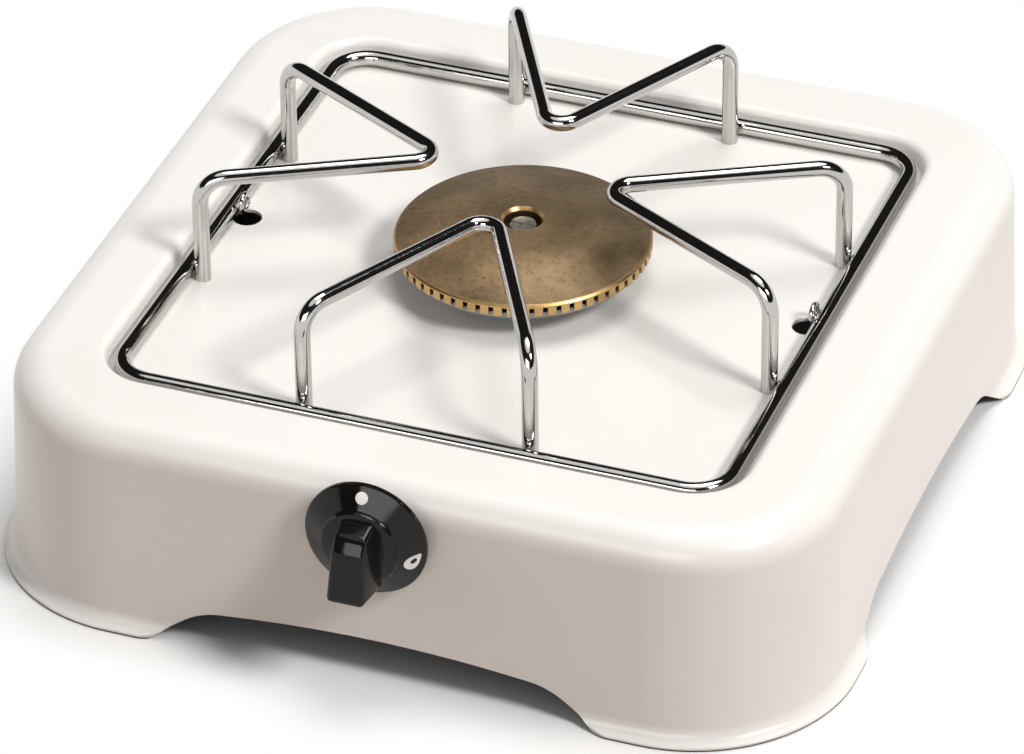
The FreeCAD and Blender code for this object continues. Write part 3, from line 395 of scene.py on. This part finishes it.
# Pan support: a square ring and four V-shaped fingers of bent steel wire with two small eyes, spot
# welded together, bright chromed and laid loose in the well. The plate is a little uneven and
# dusty, so its shine wavers.

chrome = Finish("bright_chrome")
where = chrome.place()
waver = chrome.noise(where, 160.0, 2.0)
dust = chrome.noise(where, 900.0, 3.0).step(0.55, 0.80)
tint = chrome.noise(where, 22.0, 2.0)
PALE_CHROME = (0.60, 0.585, 0.57, 1)
GREY_CHROME = (0.50, 0.487, 0.475, 1)
DUST = (0.36, 0.345, 0.33, 1)
plate = chrome.blend(tint, PALE_CHROME, GREY_CHROME)
chrome.surface(
    Base_Color=chrome.blend(dust * 0.20, plate, DUST),
    Metallic=1.0,
    Roughness=0.06 + waver * 0.05 + dust * 0.08,
    Normal=chrome.bump(waver, 0.00004, 0.5),
)
chrome.coat(
    "support_ring", "finger_front", "finger_right", "finger_back", "finger_left", "support_eyes",
)


# Control knob: moulded in gloss black plastic, with a coned skirt, a low hub and a bar to grip that
# is wider and stands out further at its lower end. It is hollow behind, where it pushes on the
# spindle, and handling has left faint smears in its gloss.

plastic = Finish("gloss_black_plastic")
where = plastic.place()
smear = plastic.noise(where, 90.0, 4.0, 0.6)
fine = plastic.noise(where, 1600.0, 2.0)
CLEAN_BLACK = (0.0055, 0.0045, 0.0040, 1)
SMEARED_BLACK = (0.0095, 0.0080, 0.0072, 1)
plastic.surface(
    Base_Color=plastic.blend(smear, CLEAN_BLACK, SMEARED_BLACK),
    Roughness=0.08 + smear.step(0.40, 0.75) * 0.10,
    Specular_IOR_Level=0.27,
    Normal=plastic.bump(fine, 0.00002, 0.4),
)
KNOB_LOW, KNOB_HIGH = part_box("control_knob")
KNOB_RADIUS = KNOB_HIGH.x
KNOB_DEPTH = KNOB_HIGH.y - KNOB_LOW.y
KNOB_BACK = Vector((0, KNOB_HIGH.y, (KNOB_LOW.z + KNOB_HIGH.z) / 2))
CONE_EDGE = 0.0203
CONE_EDGE_DEPTH = 0.0016
CONE_TOP = 0.0135
CONE_TOP_DEPTH = 0.0060
HUB_DEPTH = 0.0074
SKIRT_HOLLOW = 0.0120
SKIRT_HOLLOW_DEPTH = 0.0025
CLIP_HOLLOW = 0.0080
CLIP_HOLLOW_DEPTH = 0.0050
SOCKET = 0.0055
SOCKET_END = 0.0015
SPINDLE_BORE = 0.00305
SPINDLE_BORE_DEPTH = 0.0128


def pick_vertices(mesh, wanted):
    """In edit mode, selects the vertices whose place is wanted, and nothing else."""
    bpy.ops.mesh.select_mode(type="VERT")
    bpy.ops.mesh.select_all(action="DESELECT")
    bpy.ops.object.mode_set(mode="OBJECT")
    for vertex in mesh.vertices:
        vertex.select = wanted(vertex.co)
    bpy.ops.object.mode_set(mode="EDIT")


def turn_profile(radius, depth, places):
    """In edit mode, draws the selected ring on through radii and depths and closes the end."""
    for next_radius, next_depth in places:
        rise = (0, 0, next_depth - depth)
        bpy.ops.mesh.extrude_region_move(TRANSFORM_OT_translate={"value": rise})
        spread = next_radius / radius
        bpy.ops.transform.resize(value=(spread, spread, 1), center_override=(0, 0, 0))
        radius, depth = next_radius, next_depth
    bpy.ops.mesh.edge_face_add()


bpy.ops.object.select_all(action="DESELECT")
bpy.ops.mesh.primitive_circle_add(vertices=128, radius=KNOB_RADIUS, location=(0, 0, 0))
knob = bpy.context.object
knob.name = "knob_moulding"
bpy.ops.object.mode_set(mode="EDIT")
# The outside goes from the edge by the wall to the hub, and short steps round off its corners.
turn_profile(KNOB_RADIUS, 0, [
    (KNOB_RADIUS, 0.0011),
    (KNOB_RADIUS - 0.0002, 0.0014),
    (CONE_EDGE, CONE_EDGE_DEPTH),
    (CONE_EDGE - 0.00034, CONE_EDGE_DEPTH + 0.00022),
    (CONE_TOP + 0.00034, CONE_TOP_DEPTH - 0.00022),
    (CONE_TOP, CONE_TOP_DEPTH),
    (CONE_TOP - 0.0003, CONE_TOP_DEPTH + 0.0004),
    (CONE_TOP - 0.0004, HUB_DEPTH - 0.0006),
    (CONE_TOP - 0.0006, HUB_DEPTH - 0.0002),
    (CONE_TOP - 0.0010, HUB_DEPTH),
])
pick_vertices(knob.data, lambda place: place.z < 0.0001)
# The hollow behind leaves room for the clip round the socket, which has the spindle's bore.
turn_profile(KNOB_RADIUS, 0, [
    (SKIRT_HOLLOW, 0),
    (SKIRT_HOLLOW, SKIRT_HOLLOW_DEPTH),
    (CLIP_HOLLOW, SKIRT_HOLLOW_DEPTH),
    (CLIP_HOLLOW, CLIP_HOLLOW_DEPTH),
    (SOCKET, CLIP_HOLLOW_DEPTH),
    (SOCKET, SOCKET_END),
    (SPINDLE_BORE, SOCKET_END),
    (SPINDLE_BORE, SPINDLE_BORE_DEPTH),
])
bpy.ops.mesh.select_all(action="SELECT")
bpy.ops.mesh.normals_make_consistent(inside=False)
bpy.ops.object.mode_set(mode="OBJECT")

# The grip is cut from a block: two tapered sides, two drafted ends and a front in two slopes.
GRIP_FOOT = 0.0050
GRIP_HALF = 0.0065
GRIP_LOWER_END = -0.0144
GRIP_UPPER_END = 0.0110
GRIP_BREAK = (0.0042, 0.0180)
GRIP_ROUNDING = 0.0016
BLOCK_WIDTH = 0.0150
BLOCK_LENGTH = 0.0270
BLOCK_MIDDLE = (0, -0.002, 0.5 * (GRIP_FOOT + KNOB_DEPTH))
bpy.ops.object.select_all(action="DESELECT")
bpy.ops.mesh.primitive_cube_add(size=1, location=BLOCK_MIDDLE)
grip = bpy.context.object
grip.scale = (BLOCK_WIDTH, BLOCK_LENGTH, KNOB_DEPTH - GRIP_FOOT)
bpy.ops.object.transform_apply(location=True, rotation=True, scale=True)
bpy.ops.object.mode_set(mode="EDIT")
for place, facing in [
    ((GRIP_HALF, 0, GRIP_FOOT), (1, 0.055, 0.055)),
    ((-GRIP_HALF, 0, GRIP_FOOT), (-1, 0.055, 0.055)),
    ((0, GRIP_LOWER_END, GRIP_FOOT), (0, -1, 0.10)),
    ((0, GRIP_UPPER_END, GRIP_FOOT), (0, 1, 0.20)),
    ((0, *GRIP_BREAK), (0, 0.2, 1)),
    ((0, *GRIP_BREAK), (0, 0.72, 1)),
]:
    bpy.ops.mesh.select_all(action="SELECT")
    bpy.ops.mesh.bisect(plane_co=place, plane_no=facing, use_fill=True, clear_outer=True)
bpy.ops.mesh.select_all(action="SELECT")
bpy.ops.mesh.bevel(offset=GRIP_ROUNDING, segments=6, affect="EDGES")
bpy.ops.mesh.select_all(action="SELECT")
bpy.ops.mesh.normals_make_consistent(inside=False)
bpy.ops.object.mode_set(mode="OBJECT")

bpy.ops.object.select_all(action="DESELECT")
knob.select_set(True)
bpy.context.view_layer.objects.active = knob
joined = knob.modifiers.new("grip", "BOOLEAN")
joined.operation = "UNION"
joined.object = grip
bpy.ops.object.modifier_apply(modifier="grip")
bpy.data.objects.remove(grip)
knob.matrix_world = Matrix.Translation(KNOB_BACK) @ Matrix.Rotation(radians(90), 4, "X")
bpy.ops.object.transform_apply(location=True, rotation=True, scale=True)
bpy.ops.object.shade_smooth_by_angle(angle=radians(30))
knob.data.materials.append(plastic.block)
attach(knob, "knob")
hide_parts("control_knob")


# Knob marks: a dot that points to the setting and a small flame for the open tap, printed on the
# skirt in thick white ink, a little worn, with a soft edge.

ink = Finish("white_ink")
where = ink.place()
wear = ink.noise(where, 900.0, 3.0)
FRESH_INK = (0.92, 0.91, 0.89, 1)
WORN_INK = (0.70, 0.68, 0.65, 1)
ink.surface(
    Base_Color=ink.blend(wear.step(0.50, 0.80), FRESH_INK, WORN_INK),
    Roughness=0.42 + wear * 0.20,
    Normal=ink.bump(wear, 0.00003, 0.5),
)
SKIRT_SLOPE = atan2(CONE_TOP_DEPTH - CONE_EDGE_DEPTH, CONE_EDGE - CONE_TOP)
INK_THICKNESS = 0.00016


def print_on_skirt(mark, radius, turn, spin):
    """Lays a mark made round the origin, facing +Z, on the skirt, turned clockwise from the top."""
    skirt_face = CONE_EDGE_DEPTH + (CONE_EDGE - radius) * tan(SKIRT_SLOPE)
    mark.matrix_world = (
        Matrix.Translation(KNOB_BACK)
        @ Matrix.Rotation(radians(turn), 4, "Y")
        @ Matrix.Translation((0, -skirt_face, radius))
        @ Matrix.Rotation(radians(90) - SKIRT_SLOPE, 4, "X")
        @ Matrix.Rotation(radians(spin), 4, "Z")
    )
    bpy.ops.object.transform_apply(location=True, rotation=True, scale=True)
    bpy.ops.object.shade_smooth_by_angle(angle=radians(40))
    mark.data.materials.append(ink.block)
    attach(mark, "knob")


DOT_RADIUS = 0.0021
DOT_PLACE = 0.0172
INK_ROUNDING = 0.0001
bpy.ops.object.select_all(action="DESELECT")
bpy.ops.mesh.primitive_cylinder_add(
    vertices=40, radius=DOT_RADIUS, depth=INK_THICKNESS, location=(0, 0, 0),
)
dot = bpy.context.object
dot.name = "pointer_dot"
bpy.ops.object.mode_set(mode="EDIT")
pick_vertices(dot.data, lambda place: place.z > 0)
bpy.ops.mesh.bevel(offset=INK_ROUNDING, segments=3, affect="EDGES")
bpy.ops.object.mode_set(mode="OBJECT")
print_on_skirt(dot, DOT_PLACE, 0, 0)

FLAME_RADIUS = 0.0023
FLAME_LENGTH = 0.0072
FLAME_DRAW = FLAME_LENGTH - 2 * FLAME_RADIUS
FLAME_LINE = 0.66 * FLAME_RADIUS
HEART_RISE = 0.25 * FLAME_RADIUS
FLAME_PLACE = 0.0174
FLAME_TURN = 101
FLAME_SPIN = 57
bpy.ops.object.select_all(action="DESELECT")
bpy.ops.mesh.primitive_cylinder_add(
    vertices=48, radius=FLAME_RADIUS, depth=INK_THICKNESS, location=(0, 0, 0),
)
flame = bpy.context.object
flame.name = "flame_mark"
bpy.ops.object.mode_set(mode="EDIT")
bpy.ops.mesh.select_mode(type="FACE")
bpy.ops.mesh.select_all(action="DESELECT")
bpy.ops.object.mode_set(mode="OBJECT")
for face in flame.data.polygons:
    face.select = abs(face.normal.z) > 0.9
bpy.ops.object.mode_set(mode="EDIT")
bpy.ops.mesh.inset(thickness=FLAME_LINE, depth=0)
bpy.ops.transform.translate(value=(0, HEART_RISE, 0))
bpy.ops.mesh.bridge_edge_loops()
pick_vertices(flame.data, lambda place: place.y > 0.98 * FLAME_RADIUS)
bpy.ops.transform.translate(
    value=(0, FLAME_DRAW, 0), use_proportional_edit=True, proportional_edit_falloff="SHARP",
    proportional_size=1.6 * FLAME_RADIUS,
)
bpy.ops.mesh.select_all(action="SELECT")
bpy.ops.transform.translate(value=(0, -0.5 * FLAME_DRAW, 0))
bpy.ops.mesh.normals_make_consistent(inside=False)
bpy.ops.object.mode_set(mode="OBJECT")
print_on_skirt(flame, FLAME_PLACE, FLAME_TURN, FLAME_SPIN)


# Studio: a white floor that keeps the shadow and fades to plain white further out. A dark band
# round the room and a white card in front show only in glossy surfaces. A lamp stands to the right,
# a wider one hangs overhead, and a weak one to the left leaves no highlight.

def shown(finish):
    """1 where a ray shows the backdrop: straight to the camera, or by way of gloss or glass."""
    rays = finish.node("ShaderNodeLightPath").socket.node.outputs
    seen = Amount(finish, rays["Is Camera Ray"]) | Amount(finish, rays["Is Glossy Ray"])
    return seen | Amount(finish, rays["Is Transmission Ray"])


def glowing(name, colour, strength):
    """A finish that only gives light."""
    finish = Finish(name)
    light = finish.node("ShaderNodeEmission", sockets={"Color": colour, "Strength": strength})
    finish.node("ShaderNodeOutputMaterial", sockets={"Surface": light})
    return finish


def show_in_gloss_only(backdrop):
    backdrop.visible_camera = False
    backdrop.visible_diffuse = False
    backdrop.visible_shadow = False


FLOOR_BOUNCE = (0.47, 0.385, 0.33, 1)
FLOOR_WHITE = (0.98, 0.98, 0.98, 1)
FLOOR_FADE = (0.150, 0.190)
FLOOR_LEVEL = -0.0002
floor_paint = Finish("floor")
seen = shown(floor_paint)
across, along = floor_paint.axes(floor_paint.place())[:2]
away = (abs(across) | abs(along)).step(*FLOOR_FADE)
matt = floor_paint.node(
    "ShaderNodeBsdfDiffuse",
    sockets={"Color": floor_paint.blend(seen, FLOOR_BOUNCE, FLOOR_WHITE)},
)
glow = floor_paint.node("ShaderNodeEmission", sockets={"Color": (1, 1, 1, 1), "Strength": 1.0})
faded = floor_paint.node("ShaderNodeMixShader", sockets={0: seen * away, 1: matt, 2: glow})
floor_paint.node("ShaderNodeOutputMaterial", sockets={"Surface": faded})
bpy.ops.object.select_all(action="DESELECT")
bpy.ops.mesh.primitive_plane_add(size=12, location=(0, 0, FLOOR_LEVEL))
floor = bpy.context.object
floor.name = "floor"
floor.data.materials.append(floor_paint.block)

bpy.ops.mesh.primitive_cylinder_add(
    vertices=64, radius=2.6, depth=4.4, end_fill_type="NOTHING", location=(0, 0, 2.9),
)
band = bpy.context.object
band.name = "dark_band"
band.data.materials.append(glowing("dark_band", (0.016, 0.015, 0.014, 1), 1.0).block)
show_in_gloss_only(band)

bpy.ops.mesh.primitive_plane_add(
    size=1, location=(0, -2.2, 1.16), rotation=(radians(63), 0, 0),
)
card = bpy.context.object
card.name = "front_card"
card.scale = (1.76, 0.95, 1)
bpy.ops.object.transform_apply(location=True, rotation=True, scale=True)
card.data.materials.append(glowing("front_card", (1.0, 0.98, 0.95, 1), 4.4).block)
show_in_gloss_only(card)

LAMPS_AIM = Vector((0, 0, 0.06))
for name, azimuth, elevation, distance, width, watts, colour, shines in [
    ("side_lamp", 70, 45, 3.4, 0.75, 69.0, (1.0, 0.985, 0.965), True),
    ("overhead_lamp", 160, 76, 2.6, 1.3, 33.0, (1.0, 0.99, 0.975), True),
    ("fill_lamp", -75, 25, 2.5, 1.5, 8.0, (1.0, 0.985, 0.97), False),
]:
    towards = Vector((
        sin(radians(azimuth)) * cos(radians(elevation)),
        -cos(radians(azimuth)) * cos(radians(elevation)),
        sin(radians(elevation)),
    ))
    bpy.ops.object.light_add(type="AREA", location=distance * towards + LAMPS_AIM)
    lamp = bpy.context.object
    lamp.name = name
    lamp.rotation_euler = towards.to_track_quat("Z", "Y").to_euler()
    lamp.data.size = width
    lamp.data.energy = watts
    lamp.data.color = colour
    lamp.visible_glossy = shines

WORLD_LIGHT = 0.26
sky = Finish("studio", bpy.data.worlds)
backdrop = sky.node("ShaderNodeBackground", sockets={
    "Color": (1, 1, 1, 1),
    "Strength": WORLD_LIGHT + shown(sky) * (1 - WORLD_LIGHT),
})
sky.node("ShaderNodeOutputWorld", sockets={"Surface": backdrop})
bpy.context.scene.world = sky.block

# The camera has the photo's own view, worked out from the square ring and the four fingers.
bpy.ops.object.camera_add(
    location=(0.65606, -1.74618, 1.30927),
    rotation=(radians(55.4752), radians(0.6628), radians(20.2688)),
)
camera = bpy.context.object
camera.data.lens = 235.83
camera.data.sensor_width = 36
camera.data.clip_end = 100
bpy.context.scene.camera = camera
